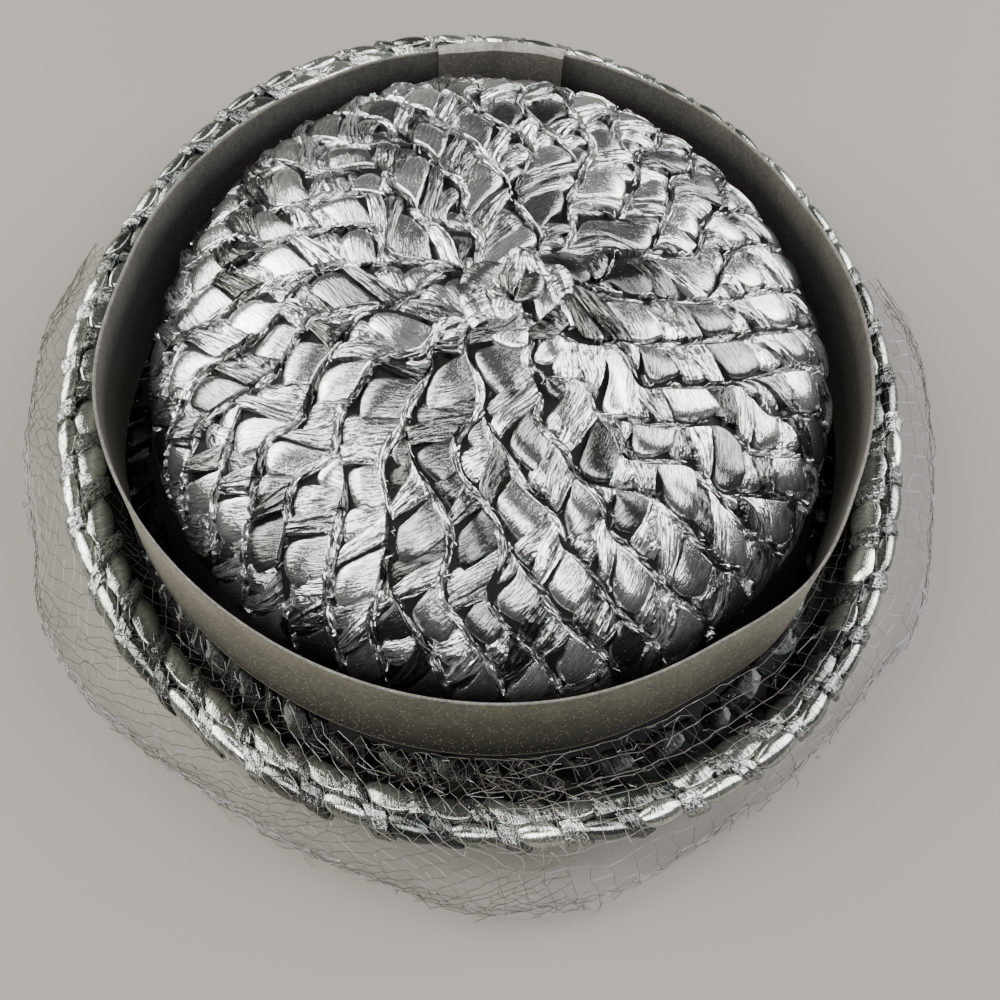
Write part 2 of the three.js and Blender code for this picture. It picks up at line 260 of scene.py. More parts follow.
def ribbon_material(name, low, high, foot_colour, top_colour, fuzz):
    """Cotton velvet with nap and specks of lint; its colour runs between two heights in mm, a
    painted shade.
    """
    material, surface = new_material(name)
    place = add_node(material, "ShaderNodeTexCoord").outputs["Object"]
    axes = add_node(material, "ShaderNodeSeparateXYZ", Vector=place)
    up = spread(material, axes.outputs["Z"], low * MM, high * MM, 0.0, 1.0)
    nap = add_node(material, "ShaderNodeTexNoise", Vector=place, Scale=900.0, Detail=3.0,
                   Roughness=0.7).outputs["Fac"]
    patches = add_node(material, "ShaderNodeTexNoise", Vector=place, Scale=110.0,
                       Detail=2.0).outputs["Fac"]
    # Darker towards the foot and lighter towards the top: a painted shade, not a real colour
    height_shade = blend(material, up, linear(foot_colour), linear(top_colour))
    mottle = add_node(material, "ShaderNodeMath", {"operation": "MULTIPLY_ADD"},
                      _0=patches, _1=0.5, _2=nap).outputs[0]
    napped = spread(material, mottle, 0.5, 1.0, 0.55, 1.45)
    nap_and_painted_shade = blend(material, 1.0, height_shade, napped, "MULTIPLY")
    lint = add_node(material, "ShaderNodeTexVoronoi",
                    Vector=place, Scale=900.0).outputs["Distance"]
    specks = spread(material, lint, 0.12, 0.2, fuzz, 0.0)
    lint_and_painted_shade = blend(material, specks, nap_and_painted_shade, linear(lint_colour))
    bump = add_node(material, "ShaderNodeBump",
                    Strength=0.5, Distance=0.15 * MM, Height=nap).outputs[0]
    material.node_tree.links.new(lint_and_painted_shade, surface.inputs["Base Color"])
    material.node_tree.links.new(bump, surface.inputs["Normal"])
    surface.inputs["Roughness"].default_value = 0.75
    surface.inputs["Specular IOR Level"].default_value = 0.2
    surface.inputs["Sheen Weight"].default_value = 0.1
    surface.inputs["Sheen Roughness"].default_value = 0.35
    surface.inputs["Sheen Tint"].default_value = linear(sheen_colour)
    return material


# The outer face: painted darker towards its foot and lighter near its top, a painted shade
ribbon_velvet = ribbon_material("velvet_ribbon", 6, 33, "#131311", "#58564B", 0.8)
# The inner side: painted near black below and grey at the top edge, a painted shade for the gap
ribbon_inside = ribbon_material("velvet_ribbon_inside", 24, 35, "#090807", "#403F3B", 0.1)
# The join's inner layer: painted darker, more so towards its foot, a painted shade
ribbon_fold = ribbon_material("velvet_ribbon_fold_painted_shade", 20, 34, "#181715", "#3D3B37", 0.2)
ribbon_selvedge = ribbon_material("ribbon_selvedge", 20, 34, "#43413D", "#4E4C47", 0.3)
ribbon_ledge = ribbon_material("ribbon_folded_edge", 20, 35, "#5C5A55", "#64625D", 0.2)

# %% [markdown]
# ### Net and table
# The net's nylon threads are grey-brown and slightly shiny, so they look pale over the dark
# straw and dark over the table. The table is matt paint, and makes no claim on the eye.

# %% Net and table
net_thread, thread_surface = new_material("nylon_net_thread")
thread_surface.inputs["Base Color"].default_value = linear("#45423D")
thread_surface.inputs["Roughness"].default_value = 0.36
table_paint, table_surface = new_material("pale_table")
table_surface.inputs["Base Color"].default_value = linear("#66635D")
table_surface.inputs["Roughness"].default_value = 0.75

# %% Table
table_size = 6.0
bpy.ops.mesh.primitive_plane_add(size=table_size, location=(0, 0, 0))
table = bpy.context.object
table.name = "table"
table.data.materials.append(table_paint)

# %% [markdown]
# ## Pieces from points
# Every piece below is worked out as points in millimetres and faces between them. One
# function makes the mesh, at the origin and with its place in its points.

# %% One function that makes a piece


def make_piece(name, points, faces, material, smooth=True):
    """A mesh object from points in mm and its faces."""
    mesh = bpy.data.meshes.new(name)
    mesh.from_pydata((np.asarray(points) * MM).tolist(), [], faces)
    mesh.polygons.foreach_set("use_smooth", np.full(len(faces), smooth))
    mesh.materials.append(material)
    piece = bpy.data.objects.new(name, mesh)
    bpy.context.scene.collection.objects.link(piece)
    return piece


# %% [markdown]
# ## Where everything is: ovals and skins
# The solids follow three ovals seen from above: crown, band and rim. The same ovals are
# worked out here again, so that what is added sits on them. A skin is a grid of points over
# such a form. It gives the place and the outward direction anywhere on it, for the strips.

# %% Ovals
hat_shift = np.array([0.348, 3.085])
crown_size = np.array([170.5, 174.5, 43.5])
crown_middle = np.array([1.512, 3.5]) + hat_shift
crown_foot = 2.75
tip_place = np.array([5.0, -6.0])
crown_swirl = 27.0
# In each direction in degrees: how full the dome's side is, and how far an oval bends outwards
crown_sides = [(-90, 2.1), (0, 2.5), (90, 3.6), (180, 2.45)]
band_bends = [(-170, 0.24), (-125, -0.1), (-90, 0), (-66, -0.16), (-48, 0.4), (-30, -0.06),
              (0, -0.14), (20, -0.28), (50, 0.26), (78, 0.65), (100, 0.18), (118, -0.26),
              (140, -0.52), (162, -0.52)]
rim_bends = [(-150, 0.08), (-118, 0), (-98, -0.07), (-60, 0.12), (-18, -0.16), (20, -0.07),
             (70, 0), (120, 0.06), (152, -0.18), (175, 0)]
# Width, depth, middle, bends, and how many mm a bend of 1 is
crown_oval = (crown_size[0], crown_size[1], crown_middle, None, 0)
band_oval = (184.1, 189.7, hat_shift, band_bends, 4.2)
rim_oval = (210.1, 241.7, np.array([0.504, 3.5]) + hat_shift, rim_bends, 13.0)


def read_table(rows, turn):
    """A table's value in one direction, eased from row to row and round to the first."""
    turns = np.array([row[0] for row in rows] + [rows[0][0] + 360.0])
    values = np.array([row[1] for row in rows] + [rows[0][1]], float)
    at = turns[0] + np.mod(np.asarray(turn, float) - turns[0], 360.0)
    i = np.clip(np.searchsorted(turns, at, side="right") - 1, 0, len(rows) - 1)
    share = (at - turns[i]) / (turns[i + 1] - turns[i])
    return values[i] + (values[i + 1] - values[i]) * share * share * (3 - 2 * share)


def oval_point(oval, turn, push=0.0):
    """A point of an oval from above, pushed out along its own normal, in mm."""
    width, depth, middle, bends, bend_size = oval
    angle = np.radians(np.asarray(turn, float))
    normal = np.stack([depth * np.cos(angle), width * np.sin(angle)], -1)
    normal /= np.linalg.norm(normal, axis=-1, keepdims=True)
    bend = read_table(bends, turn) * bend_size if bends else 0.0
    flat = np.stack([width / 2 * np.cos(angle), depth / 2 * np.sin(angle)], -1)
    return flat + normal * np.asarray(bend + push, float)[..., None] + middle


def arc_lengths(path):
    """How far along a path each of its points lies."""
    return np.concatenate([[0], np.cumsum(np.linalg.norm(np.diff(path, axis=0), axis=1))])


# %% Skins


class Skin:
    """A surface as a grid of points, closed round the first direction, read between them."""

    def __init__(self, points, start, step, facing):
        self.points, self.start, self.step = points, start, step
        self.turns = points.shape[0]
        ring = np.concatenate([points[-1:], points, points[:1]])
        along = (ring[2:] - ring[:-2]) / 2
        over = np.gradient(points, axis=1)
        normals = np.cross(along, over) * facing
        length = np.linalg.norm(normals, axis=-1, keepdims=True)
        self.normals = normals / np.maximum(length, 1e-9)

    def at(self, turn, over, lift=0.0):
        """The point in direction turn (degrees), at the second coordinate over, lifted."""
        turn, over, lift = np.broadcast_arrays(np.asarray(turn, float), over, lift)
        i = np.mod(turn, 360.0) / 360.0 * self.turns
        j = np.clip((over - self.start) / self.step, 0, self.points.shape[1] - 1.001)
        i0, j0 = i.astype(int) % self.turns, j.astype(int)
        i1, fi, fj = (i0 + 1) % self.turns, (i - np.floor(i))[..., None], (j - j0)[..., None]

        def mix(grid):
            low = grid[i0, j0] * (1 - fi) + grid[i1, j0] * fi
            high = grid[i0, j0 + 1] * (1 - fi) + grid[i1, j0 + 1] * fi
            return low * (1 - fj) + high * fj

        normal = mix(self.normals)
        normal /= np.maximum(np.linalg.norm(normal, axis=-1, keepdims=True), 1e-9)
        return mix(self.points) + normal * lift[..., None]


def dome_points(reach, turn, inset=0.0):
    """Points of the crown's dome: reach 0 is the tip of the weave, 1 the foot."""
    square = read_table(crown_sides, turn)
    half = crown_size / [2, 2, 1] - inset
    angle = np.radians(turn)
    x = np.cos(angle) * reach + tip_place[0] / half[0] * (1 - reach)
    y = np.sin(angle) * reach + tip_place[1] / half[1] * (1 - reach)
    height = np.maximum(0, 1 - np.hypot(x, y) ** square) ** (1 / square)
    return np.stack([x * half[0] + crown_middle[0], y * half[1] + crown_middle[1],
                     height * half[2] + crown_foot], -1)


# climb runs from 0 at the tip to 1 at the foot; reach is its sine, so steps stay even
dome_turns = np.arange(720) / 2.0
dome_climbs = np.linspace(0, 1, 401)
dome_grid = dome_points(np.sin(dome_climbs * math.pi / 2)[None, :], dome_turns[:, None])
crown_skin = Skin(dome_grid, 0.0, dome_climbs[1], 1.0)
crown_skin.normals *= np.sign(crown_skin.normals[:, 200, 2:3])[:, None]
crown_skin.normals[:, 0] = (0, 0, 1)
print("dome", dome_grid.reshape(-1, 3).min(0).round(1), dome_grid.reshape(-1, 3).max(0).round(1))

# %% [markdown]
# ## Pieces from many small patches
# A weave is thousands of small strips, so each kind is built as one joined mesh from arrays.
# A patch is a small grid of points, laid on a skin, with its edges tucked in below its
# neighbours, and a UV map that counts millimetres. Crumpled film is shaded flat, so that
# every small face glints by itself.

# %% A joined mesh of patches


class Weave:
    """Collects patches of quads and makes them one mesh."""

    def __init__(self):
        self.points, self.faces, self.uvs, self.shades, self.count = [], [], [], [], 0

    def add(self, points, uvs, shade, flip=False):
        rows, columns = points.shape[:2]
        index = np.arange(rows * columns).reshape(rows, columns) + self.count
        a, b, c, d = index[:-1, :-1], index[1:, :-1], index[1:, 1:], index[:-1, 1:]
        order = (a, d, c, b) if flip else (a, b, c, d)
        self.faces.append(np.stack(order, -1).reshape(-1, 4))
        self.points.append(points.reshape(-1, 3))
        self.uvs.append(uvs.reshape(-1, 2))
        self.shades.append(np.full(rows * columns, shade))
        self.count += rows * columns

    def make(self, name, material, flat=False):
        faces = np.concatenate(self.faces)
        piece = make_piece(name, np.concatenate(self.points), faces.tolist(), material, not flat)
        corner_uvs = np.concatenate(self.uvs)[faces.reshape(-1)]
        uv = piece.data.uv_layers.new(name="strip")
        uv.data.foreach_set("uv", corner_uvs.astype(np.float32).ravel())
        cell = piece.data.attributes.new("cell", "FLOAT", "POINT")
        cell.data.foreach_set("value", np.concatenate(self.shades).astype(np.float32))
        print(name, len(faces) * 2, "triangles")
        return piece


# %% [markdown]
# ## The crown's weave
# Rows start at the tip and swirl outwards. A row keeps its width of 7 to 12 mm, so there is
# room for more and more rows, and new ones wedge in between the old. Each row has a broad
# part, where three kinds of cell come up in turn, and a narrow margin of crumpled film. A
# dark crevice lies on one side of every row, bridged here and there by a short edge strand.

# %% Rows of the crown
crown_rows = 42
crown_round, tip_round = 542.0, 86.0  # mm round the foot, and the dome's radius over the tip
golden = 0.6180339  # steps of this share of a turn never bunch up
row_birth = np.empty(crown_rows)
birth_order = np.argsort(np.mod(np.arange(crown_rows) * golden, 1.0))
row_birth[birth_order] = np.interp(np.arange(crown_rows), [0, 2, 5, 10, 20, 32, 42],
                                    [0.006, 0.03, 0.11, 0.22, 0.43, 0.69, 0.88])
climb_steps = np.linspace(0, 1, 301)
reach_steps = np.sin(climb_steps * math.pi / 2)
row_number = np.arange(crown_rows)[:, None]
row_share = smooth_step(0.0, 0.16, reach_steps[None, :] - row_birth[:, None] + 0.03) + 1e-4
row_share *= (1 + 0.12 * np.sin(row_number * 2.4 + reach_steps * 7)
              + 0.04 * np.sin(row_number * 5.1 + reach_steps * 19))
row_edges = np.concatenate([np.zeros((1, len(climb_steps))), np.cumsum(row_share, 0)])
row_edges = row_edges / row_share.sum(0) * 360.0


def row_turn(row, across, reach):
    """The direction on the dome at a share across a row, at some reach."""
    low = np.interp(reach, reach_steps, row_edges[row])
    high = np.interp(reach, reach_steps, row_edges[row + 1])
    return low + (high - low) * across + crown_swirl * np.log(np.maximum(reach, 0.05))


def on_crown(row, along, across, lift):
    """A point on the crown; along counts mm of arc from the tip down this row. The relief
    is lower towards the foot, where the ribbon presses the straw flat."""
    climb = np.interp(along, row_arcs[row], climb_steps)
    reach = np.sin(climb * math.pi / 2)
    flatter = np.interp(climb, [0.86, 1.0], [1.0, 0.3])
    return crown_skin.at(row_turn(row, across, reach), climb, lift * flatter)


row_arcs = []
for row in range(crown_rows):
    path = crown_skin.at(row_turn(row, 0.5, reach_steps), climb_steps)
    row_arcs.append(arc_lengths(path))
print("rows are", round(float(row_arcs[0][-1])), "mm long")

# %% [markdown]
# ### One cell
# A cell is the stretch of a strip that shows between two crossings. It bulges, its ends dip
# under the strands that cross it, and its pleats run along the strip, which passes slantwise
# over the row. Its points crowd towards its edges, where it curves most. A real crumple is
# never twice the same, so chance sets its lean, its creases and its folds.
#
# A look is the recipe for one kind of cell. Lengths are in mm and the rest are shares:
# - steps: points along and across; square, edge: how boxy the bulge is along and across
# - peak, drop: where across the cell is highest, and how much it falls beyond that
# - slant, fan: how far the strip leans, and how much it widens to one side
# - height, base, ends: the bulge, what it stands on, and how high its ends stay
# - lean, creases, crease: a chance tilt, and how many flat creases and how deep
# - pleats, folds, curl, crumple: folds' depth and number, their bend, and fine crumpling
# - round, lens, ragged: how far the ends narrow, to one side or both, and how frayed they are
# - along: 1 where the strip runs along the row and not across it

# %% Laying one cell


def fold_waves(position, count, size):
    """Folds side by side: a few sine waves of chance length, sharpened a little."""
    lengths, phases = chance.uniform(0.6, 1.4, 3) * count, chance.uniform(0, 6.28, 3)
    waves = sum(np.sin(position * k * 2 * math.pi + p) for k, p in zip(lengths, phases))
    return np.sign(waves) * np.abs(waves) ** 0.75 * size


tuck = -1.1  # mm below the skin, where a cell's edges end


def lay_cell(weave, place, start, end, low, high, width, look, shade=None, flip=False):
    """Adds one cell. place(along, across, lift) finds its points; along is in mm."""
    t, u = (np.linspace(0, 1, n) for n in look["steps"])
    x, y = np.meshgrid(t - 0.11 * np.sin(t * 2 * math.pi), u - 0.09 * np.sin(u * 2 * math.pi),
                       indexing="ij")
    ends = np.abs(2 * x - 1)
    swell = np.clip(1 - ends ** look["square"], 0, 1) ** 0.55
    near = np.clip(y / look["peak"], 0, 1)
    side = (1 - (1 - near) ** look["edge"]) ** (1 / look["edge"])
    side = side * (1 - look["drop"] * smooth_step(look["peak"], 1.0, y))
    slant = look["slant"] * chance.uniform(0.7, 1.3) * width
    height = look["height"] * chance.uniform(0.8, 1.2)
    lift = look["base"] + height * side * (look["ends"] + (1 - look["ends"]) * swell)
    lift += chance.normal(0, look["lean"]) * (2 * y - 1) * swell
    lift += chance.normal(0, look["lean"]) * (2 * x - 1) * side
    for _ in range(look["creases"]):
        heading = chance.uniform(0, 2 * math.pi)
        over = (x - 0.5) * math.cos(heading) + (y - 0.5) * math.sin(heading)
        over += chance.uniform(-0.2, 0.1)
        lift -= np.maximum(over, 0) * chance.uniform(0.4, 1.0) * look["crease"]
    if look["pleats"]:
        if look["along"]:
            folds_at = y + 0.12 * x
        else:
            folds_at = x + look["curl"] * np.sin(y * 4 + chance.uniform(0, 6))
        fade = 0.35 + 0.65 * np.sin(math.pi * y) ** 0.5
        lift += fold_waves(folds_at, look["folds"], look["pleats"]) * fade
        lift += chance.normal(0, look["pleats"] * look["crumple"], x.shape)
    lift = np.where((ends > 0.999) | (y < 0.001) | (y > 0.999), tuck, lift)
    fan = 1 + look["fan"] * (y - 0.5) * 2
    middle = (start + end) / 2
    along = middle + (x - 0.5) * (end - start) * fan + slant * (y - 0.5)
    along = along + chance.normal(0, look["ragged"], x.shape) * (0.25 + 0.75 * ends ** 2)
    rounded = y + look["round"] * ends ** 2.5 * (0.5 - y if look["lens"] else (1 - y) * 0.9)
    points = place(along, low + (high - low) * rounded, lift)
    offset = chance.uniform(0, 400, 2)
    strip = np.stack([y * width * (high - low), (x - 0.5) * (end - start)], -1)
    if look["along"]:
        strip = strip[..., ::-1]
    weave.add(points, strip + offset, chance.uniform(0, 1) if shade is None else shade, flip)


flat_look = {"steps": (15, 14), "square": 6.0, "edge": 2.3, "peak": 0.4, "drop": 0.25,
             "slant": -0.6, "fan": 0.0, "height": 1.6, "base": 0.1, "ends": 0.3, "lean": 0.25,
             "creases": 2, "crease": 1.3, "pleats": 0.0, "folds": 0, "curl": 0, "crumple": 0,
             "round": 0.34, "lens": False, "ragged": 0.1, "along": 0}
mottled_look = dict(flat_look, steps=(13, 12), height=1.4, ends=0.5, creases=4, crease=1.7,
                    pleats=0.05, folds=2.0, curl=0.1, crumple=0.9, round=0.12)
strand_look = dict(flat_look, steps=(15, 9), square=2.2, peak=0.5, drop=0.45, slant=-0.85,
                   fan=0.42, height=1.3, base=1.0, ends=0.1, creases=1, crease=0.8,
                   pleats=0.17, folds=2.8, curl=0.05, crumple=0.3, round=0.0)
margin_look = dict(flat_look, steps=(14, 10), square=2.4, peak=0.4, drop=0.5, slant=0.22,
                   fan=0.2, height=0.75, base=0.35, ends=0.1, creases=4, crease=1.6,
                   pleats=0.16, folds=2.0, curl=0.1, crumple=0.8, round=0.35, lens=True,
                   ragged=0.3, along=1)

# %% [markdown]
# ### Weaving the crown
# Down each row the three kinds of cell follow each other: a fanned strand, a long flat cell
# and a shorter mottled one. Next to them lies the margin, in short crumpled lengths with
# some left out, and then the edge strands. Near the tip everything is narrower and lower.

# %% Weaving the crown
flat_cells, pleated_cells, margin_cells, ridge_strands = Weave(), Weave(), Weave(), Weave()
# Each kind: its look, its weave, its length, how far its ends go under, and where it starts
cell_kinds = [(strand_look, pleated_cells, 4.2, 0.7, -0.01),
              (flat_look, flat_cells, 10.2, 0.35, 0.03),
              (mottled_look, pleated_cells, 5.8, 0.5, 0.01)]
broad_part, margin_from, margin_to, margin_gaps = 0.9, 0.79, 1.03, 0.16
strand_section = np.array([[-0.5, -1.6], [-0.22, 0.0], [0.1, 0.1], [0.4, -2.4]])


def share_of(width, full, least):
    """How much of its full size something keeps in a row this wide."""
    return float(np.clip(width / full, least, 1.0))


for row in range(crown_rows):
    arcs, length_of_row = row_arcs[row], row_arcs[row][-1]
    first = float(np.interp(row_birth[row], reach_steps, arcs))

    def place(along, across, lift, row=row, first=first, last=length_of_row):
        """A point on this row, kept between the row's ends."""
        return on_crown(row, np.clip(along, first * 0.6, last), across, lift)

    def width_at(along, row=row, arcs=arcs):
        """The row's width in mm."""
        reach = float(np.interp(along, arcs, reach_steps))
        span = float(np.interp(reach, reach_steps, row_edges[row + 1] - row_edges[row]))
        return max(1.5, span / 360 * crown_round * reach)

    along = first - 1.5
    kind = row % 3
    # The first cell is cut short, each row's by another share, so the ends don't line up
    stagger = 0.35 + 0.65 * ((row * 0.618) % 1.0)
    while along < length_of_row - 1.5:
        width = width_at(max(along + 3, first + 3))
        kind_look, weave, long, spare, low = cell_kinds[kind]
        size = long * share_of(width, 11.0, 0.62) * chance.uniform(0.85, 1.18) * stagger
        stagger = 1.0
        start, end = max(along, first * 0.7), min(along + size, length_of_row)
        if end - start > 1.2:
            cell_look = dict(kind_look, height=kind_look["height"] * share_of(width, 8.5, 0.4))
            lay_cell(weave, place, start - spare, end + spare, low, broad_part, width, cell_look)
        along += size
        kind = (kind + 1) % 3

    along = first + chance.uniform(0, 4)
    while along < length_of_row - 1.0:
        width = width_at(along + 2)
        size = chance.uniform(3.5, 8.5) * share_of(width, 11, 0.6)
        if width < 6.5 or chance.random() < margin_gaps:
            along += size
            continue
        cell_look = dict(margin_look, height=margin_look["height"] * share_of(width, 9, 0.35))
        aside = chance.uniform(-0.05, 0.04, 2)
        lay_cell(margin_cells, place, along - 0.8, min(along + size, length_of_row) + 0.8,
                 margin_from + aside[0], margin_to + aside[1], width, cell_look)
        along += size

    # The edge strands: thin crumpled cords on the row's far side
    begin = first + 1
    while begin < length_of_row - 4:
        samples = np.arange(begin, min(begin + chance.uniform(1.8, 5.0), length_of_row), 0.6)
        begin = samples[-1] + chance.uniform(0.5, 7)
        if len(samples) < 3:
            continue
        places = 1.02 + chance.normal(0, 0.03, len(samples)) + 0.035 * np.sin(samples * 0.9 + row)
        tops = 1.1 + chance.normal(0, 0.34, len(samples))
        tops[[0, -1]] -= 1.5
        strand = np.zeros((len(samples), len(strand_section), 3))
        widths = np.array([width_at(a) for a in samples])
        tops = tops * np.clip(widths / 8, 0.4, 1)
        for corner, (aside, drop) in enumerate(strand_section):
            strand[:, corner] = on_crown(row, samples, places + aside / widths, tops + drop)
        uvs = np.stack(np.meshgrid(samples, [0, 0.5, 1.0, 1.5], indexing="ij"), -1)
        ridge_strands.add(strand, uvs + chance.uniform(0, 90, 2), chance.uniform(0.3, 1))

# %% [markdown]
# ### The tip
# Rows that all meet in one point would look like a wheel. On a real hat broad cells lie this
# way and that over the place, and hide where the rows start. So do these.

# %% The tip


def on_tip(along, across, lift, centre, heading, breadth):
    """Places a strip by its centre and heading, straight over the pole of the dome, in mm."""
    side = (across - 0.5) * breadth
    x = centre[0] + along * math.cos(heading) - side * math.sin(heading)
    y = centre[1] + along * math.sin(heading) + side * math.cos(heading)
    climb = np.arcsin(np.hypot(x, y) / tip_round) * 2 / math.pi
    return crown_skin.at(np.degrees(np.arctan2(y, x)), climb, lift)


# Each row: distance and direction from the tip, heading, length, breadth, height and look
tip_cells = [
    (10.5, 20, 100, 9.5, 7.5, 0.9, mottled_look), (10.5, 78, 160, 10, 6.5, 1.5, strand_look),
    (10, 135, 215, 10, 7.5, 0.9, flat_look), (10.5, 192, 285, 9.5, 6.5, 1.4, mottled_look),
    (10.5, 248, 335, 10, 7.5, 0.9, flat_look), (10.5, 306, 40, 10, 6.5, 1.5, strand_look),
    (3.6, 40, 65, 8, 6.0, 1.2, flat_look), (4.0, 215, 150, 7.5, 5.5, 0.9, mottled_look),
]
for distance, direction, heading, long, breadth, high, kind_look in tip_cells:
    angle = math.radians(direction)
    spot = (distance * math.cos(angle), distance * math.sin(angle))

    def on_spot(along, across, lift, spot=spot, way=math.radians(heading), breadth=breadth):
        """A point of this cell, over its own spot."""
        return on_tip(along, across, lift, spot, way, breadth)

    lay_cell(flat_cells if kind_look is flat_look else pleated_cells, on_spot,
             -long / 2, long / 2, 0.0, 1.0, breadth, dict(kind_look, base=high, slant=-0.3))

crown_flat = flat_cells.make("crown_flat_strips", straw_film)
crown_pleated = pleated_cells.make("crown_pleated_strips", straw_pleated, flat=True)
crown_margins = margin_cells.make("crown_margin_strips", straw_pleated, flat=True)
crown_strands = ridge_strands.make("crown_edge_strands", straw_pleated, flat=True)

# %% [markdown]
# ## The crown's ground
# Behind the strips the real weave is dark and tight. A smooth shell, 2 mm thick and open
# below, closes every crevice and gives the hollow inside its wall.

# %% Crown shell


def shell_of(name, rings, material):
    """A closed shell from rings of points, capped by its first and last ring's middles."""
    count = rings[0].shape[0]
    points = np.concatenate(rings + [[rings[0].mean(0), rings[-1].mean(0)]])
    faces = []
    for i in range(len(rings) - 1):
        for j in range(count):
            k = (j + 1) % count
            faces.append((i * count + j, (i + 1) * count + j, (i + 1) * count + k, i * count + k))
    last = (len(rings) - 1) * count
    tip, inner = last + count, last + count + 1
    for j in range(count):
        k = (j + 1) % count
        faces.append((tip, j, k))
        faces.append((inner, last + k, last + j))
    return make_piece(name, points, faces, material)


crown_wall = 2.4


def dome_ring(climb, inset):
    """One level ring of the dome, some way inside its skin."""
    return dome_points(math.sin(climb * math.pi / 2), np.arange(0, 360, 3.0), inset)


outer_rings = [dome_ring(climb, 0.45) for climb in np.linspace(0.04, 1, 26)]
inner_rings = [dome_ring(climb, crown_wall) for climb in np.linspace(1, 0.04, 20)]
crown_ground = shell_of("crown_ground", outer_rings + inner_rings, straw_dark)

# %% [markdown]
# ## The brim and its rolled rim
# The brim is the same straw, nearly flat under the band. It turns up into a rolled rim. Two
# rows of lens-shaped cells cover the roll, each in the gaps of the other, with crumpled film
# crossing between them. More rows lie in the valley between roll and ribbon and on the
# roll's outer underside, and these are painted darker, a painted shade.

# %% Brim section and skin
brim_wall, rim_height, roll_core = 2.4, 12.0, 2.28
# Each row: share of the way out, share of the rim's height, and share of the wall's thickness
brim_line = [(0, 0, 1), (0.28, 0, 1), (0.58, 0, 1), (0.72, 0.1, 1), (0.86, 0.38, 1.15),
             (0.95, 0.72, 1.6), (1, 1, 1.9)]


def softened(values, reach):
    """A running mean over reach neighbours on either side."""
    count = 2 * reach + 1
    return np.convolve(np.pad(values, reach, mode="edge"), np.ones(count) / count, "valid")


def brim_way(turn):
    """In one direction: where the brim starts, the roll's core, and the way between them."""
    inside = oval_point(crown_oval, turn, -crown_wall)
    core = oval_point(rim_oval, turn, -roll_core)
    breadth = float(np.linalg.norm(core - inside))
    return inside, core, (core - inside) / breadth, breadth


def brim_section(turn):
    """The brim's outline in one direction: its top side from the crown out, over the roll
    and back below, as points in 3-D."""
    inside, _, outward, breadth = brim_way(turn)
    share = np.array([row[0] for row in brim_line]) * breadth
    up = brim_wall / 2 + np.array([row[1] for row in brim_line]) * (rim_height - brim_wall / 2)
    half = brim_wall * np.array([row[2] for row in brim_line]) / 2
    dense = np.linspace(0, breadth, 60)
    thick = np.interp(dense, share, half)
    z = softened(np.interp(dense, share, up), 3)
    slope = np.gradient(z, dense)
    size = np.hypot(1, slope)
    top = np.stack([dense - slope / size * thick, z + thick / size], -1)
    low = np.stack([dense + slope / size * thick, z - thick / size], -1)
    start = math.atan2(top[-1, 1] - z[-1], top[-1, 0] - dense[-1])
    end = math.atan2(low[-1, 1] - z[-1], low[-1, 0] - dense[-1])
    fan = np.linspace(start, end, 16)[1:-1]
    roll = np.stack([dense[-1] + np.cos(fan) * thick[-1], z[-1] + np.sin(fan) * thick[-1]], -1)
    loop = np.concatenate([top, roll, low[::-1]])
    loop[:, 1] = np.maximum(loop[:, 1], 0.02)
    flat = inside + outward * loop[:, :1]
    return np.concatenate([flat, loop[:, 1:]], 1)


section_turns = np.arange(0, 360, 1.5)
brim_loops = np.array([brim_section(t) for t in section_turns])
brim_from, rim_from, brim_step = -30.0, -10.0, 0.25
brim_grid = []
for loop in brim_loops:
    arc = arc_lengths(loop)
    top_arc = arc[int(np.argmax(loop[:, 2]))]
    stations = np.arange(brim_from, 10.0, brim_step) + top_arc
    brim_grid.append(np.stack([np.interp(stations, arc, loop[:, k]) for k in range(3)], -1))
brim_skin = Skin(np.array(brim_grid), brim_from, brim_step, -1.0)
print("roll top at", round(float(brim_loops[..., 2].max()), 1), "mm")

# The outermost cells are flat strips folded over the roll, so they lie on a broader arch
roll_arch = np.array([(-9.5, -5.2), (-7.0, -2.6), (-5.0, -0.4), (-3.2, 1.5), (-1.4, 2.5),
                      (0.6, 2.55), (2.2, 1.5), (2.9, -0.4), (2.9, -2.4), (2.3, -4.4)])
arch_arc = arc_lengths(roll_arch)
arch_top = arch_arc[4] + 1.0
rim_grid = []
for turn in section_turns:
    _, core, outward, _ = brim_way(turn)
    stations = np.arange(rim_from, 9.0, brim_step) + arch_top
    out, up = (softened(np.interp(stations, arch_arc, roll_arch[:, k]), 4)[:, None] for k in (0, 1))
    rim_grid.append(np.concatenate([core + outward * out, rim_height + up], 1))
rim_skin = Skin(np.array(rim_grid), rim_from, brim_step, -1.0)


def ring_body(name, loops, material, closed=True):
    """A body from closed sections, right round the hat or capped at both ends."""
    turns, steps = loops.shape[:2]
    index = np.arange(turns * steps).reshape(turns, steps)
    a, b = (index, np.roll(index, -1, 0)) if closed else (index[:-1], index[1:])
    faces = np.stack([a, np.roll(a, -1, 1), np.roll(b, -1, 1), b], -1).reshape(-1, 4).tolist()
    if not closed:
        faces += [index[0, ::-1].tolist(), index[-1].tolist()]
    piece = make_piece(name, loops.reshape(-1, 3), faces, material)
    if not closed:
        bpy.ops.object.select_all(action="DESELECT")
        piece.select_set(True)
        bpy.context.view_layer.objects.active = piece
        bpy.ops.object.shade_smooth_by_angle(angle=math.radians(40))
    return piece


brim_ground = ring_body("brim_ground", brim_loops[:, ::2], straw_dark)

# %% Cells of the brim and the rim
rim_cells, rim_round = 48, 712.0  # cells in a row, and mm round the rim
rim_mm = rim_round / 360
pitch = rim_round / rim_cells
